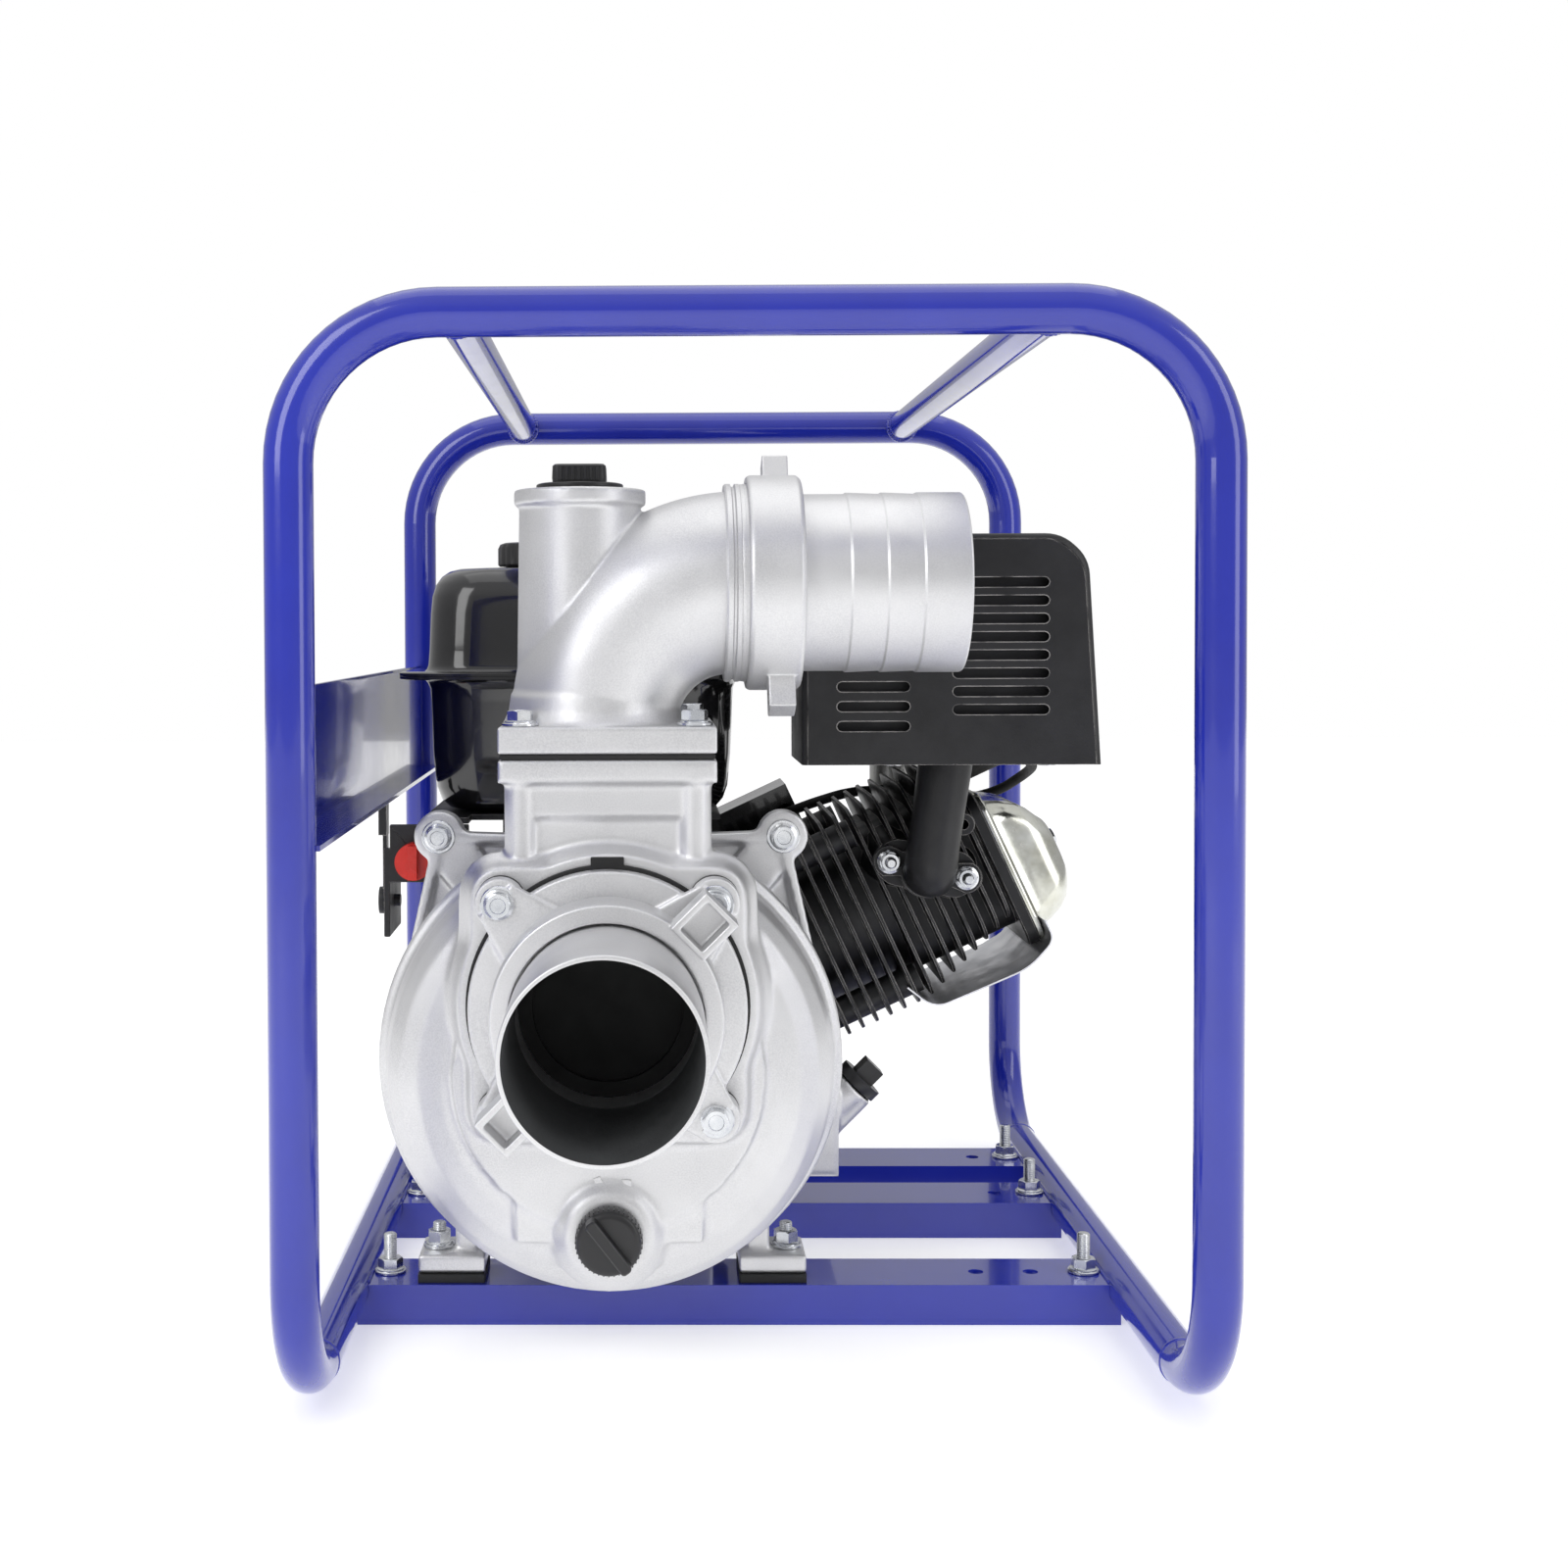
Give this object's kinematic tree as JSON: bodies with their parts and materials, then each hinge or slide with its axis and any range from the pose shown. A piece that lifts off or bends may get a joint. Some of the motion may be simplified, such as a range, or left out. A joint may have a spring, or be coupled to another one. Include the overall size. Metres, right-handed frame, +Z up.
{
  "type": "engine water pump",
  "caption": "Petrol-engine water pump in a blue tubular roll frame, with a large suction mouth in front and an elbow outlet with a hose tail to the right.",
  "frame": {"origin": "middle of the footprint, on the ground under the cross members", "axes": "+X right towards the outlet, +Y from the suction mouth to the recoil starter, +Z up"},
  "size_m": [0.49, 0.669, 0.585],
  "materials": {
    "blue_paint": "gloss enamel",
    "zinc_steel": "bright zinc plate",
    "black_rubber": "matt",
    "cast_aluminium": "blasted casting",
    "inner_iron": "as cast",
    "ground_steel": "ground",
    "black_metal": "heat-proof satin black",
    "black_paint": "gloss black",
    "black_plastic": "matt moulded",
    "red_plastic": "gloss moulded",
    "carb_alloy": "die cast",
    "plug_steel": "plated"
  },
  "bodies": {
    "pump_set": {"air_cleaner_base": "black_plastic", "blower_housing": "black_paint", "carburettor": "carb_alloy", "casing_bolts": "zinc_steel", "crankcase": "cast_aluminium", "crankcase_cover": "cast_aluminium", "cylinder_barrel": "black_metal", "cylinder_head": "black_metal", "discharge_elbow": "cast_aluminium", "elbow_bolts": "zinc_steel", "elbow_gasket": "black_rubber", "engine_bolts": "zinc_steel", "exhaust_elbow": "black_metal", "foot_pads": "black_rubber", "frame_studs": "zinc_steel", "front_cross_member": "blue_paint", "front_hoop": "blue_paint", "fuel_tank_lower": "black_paint", "fuel_tank_upper": "black_paint", "inner_volute": "inner_iron", "left_rail": "blue_paint", "left_top_brace": "blue_paint", "middle_cross_member": "blue_paint", "mounting_bolts": "zinc_steel", "muffler": "black_metal", "muffler_guard": "black_metal", "outlet_hose_tail": "cast_aluminium", "pump_bracket": "cast_aluminium", "pump_casing": "cast_aluminium", "rear_cross_member": "blue_paint", "rear_hoop": "blue_paint", "right_rail": "blue_paint", "right_top_brace": "blue_paint", "rocker_cover": "zinc_steel", "seal_seat": "ground_steel", "side_plate": "blue_paint", "spark_plug": "plug_steel", "spark_plug_lead": "black_rubber", "starter_housing": "black_paint", "suction_flange": "cast_aluminium", "suction_gasket": "black_rubber", "suction_hose_tail": "cast_aluminium", "tank_bracket": "black_metal"},
    "crank_train": {"crankshaft": "ground_steel", "flywheel": "inner_iron", "impeller": "inner_iron", "seal_ring": "ground_steel"},
    "piston_set": {"piston": "ground_steel", "connecting_rod": "ground_steel"},
    "suction_ring": {"suction_coupling_ring": "cast_aluminium"},
    "outlet_nut": {"outlet_coupling_nut": "cast_aluminium"},
    "priming_plug": {"priming_plug": "black_plastic"},
    "drain_plug": {"drain_plug": "black_plastic"},
    "fuel_cap": {"fuel_cap": "black_plastic"},
    "oil_cap": {"oil_filler_cap": "black_plastic"},
    "engine_switch": {"engine_switch": "red_plastic"},
    "throttle_lever": {"throttle_lever": "black_metal"},
    "starter_pull": {"starter_handle": "black_plastic"},
    "valve_flap": {"check_valve_flap": "black_rubber"},
    "cleaner_cover": {"air_cleaner_cover": "black_plastic"}
  },
  "joints": [
    {"name": "crankshaft_spin", "type": "hinge", "parent": "pump_set", "child": "crank_train", "pos_m": [-0.075, 0, 0.15], "axis": [0, 1, 0], "continuous": true},
    {"name": "piston_stroke", "type": "slide", "parent": "pump_set", "child": "piston_set", "axis": [0.9063, 0, 0.4226], "range_m": [-0.05, 0.012]},
    {"name": "suction_ring_turn", "type": "hinge", "parent": "pump_set", "child": "suction_ring", "pos_m": [-0.075, -0.225, 0.21], "axis": [0, 1, 0], "continuous": true},
    {"name": "outlet_nut_turn", "type": "hinge", "parent": "pump_set", "child": "outlet_nut", "pos_m": [0.018, -0.131, 0.44], "axis": [1, 0, 0], "continuous": true},
    {"name": "priming_plug_turn", "type": "hinge", "parent": "pump_set", "child": "priming_plug", "pos_m": [-0.091, -0.131, 0.49], "axis": [0, 0, 1], "continuous": true},
    {"name": "drain_plug_turn", "type": "hinge", "parent": "pump_set", "child": "drain_plug", "pos_m": [-0.075, -0.186, 0.081], "axis": [0, 1, 0], "continuous": true},
    {"name": "fuel_cap_turn", "type": "hinge", "parent": "pump_set", "child": "fuel_cap", "pos_m": [-0.13, 0.15, 0.46], "axis": [0, 0, 1], "range_deg": [0, 90]},
    {"name": "oil_cap_turn", "type": "hinge", "parent": "pump_set", "child": "oil_cap", "pos_m": [0.08213, 0.029, 0.11613], "axis": [0.7071, 0, 0.7071], "continuous": true},
    {"name": "engine_switch_turn", "type": "hinge", "parent": "pump_set", "child": "engine_switch", "pos_m": [-0.205, 0.03, 0.263], "axis": [0, 1, 0], "range_deg": [0, 45]},
    {"name": "throttle_lever_swing", "type": "hinge", "parent": "pump_set", "child": "throttle_lever", "pos_m": [-0.226, 0.062, 0.233], "axis": [1, 0, 0], "range_deg": [-20, 35]},
    {"name": "starter_pull_out", "type": "slide", "parent": "pump_set", "child": "starter_pull", "axis": [-0.5, 0, 0.866], "range_m": [0, 0.05], "stiffness_N_per_m": 60, "springref_m": -0.01},
    {"name": "valve_flap_swing", "type": "hinge", "parent": "pump_set", "child": "valve_flap", "pos_m": [-0.075, -0.1902, 0.25], "axis": [1, 0, 0], "range_deg": [0, 20]},
    {"name": "cleaner_cover_lift", "type": "slide", "parent": "pump_set", "child": "cleaner_cover", "axis": [0, 0, 1], "range_m": [0, 0.1]}
  ]
}
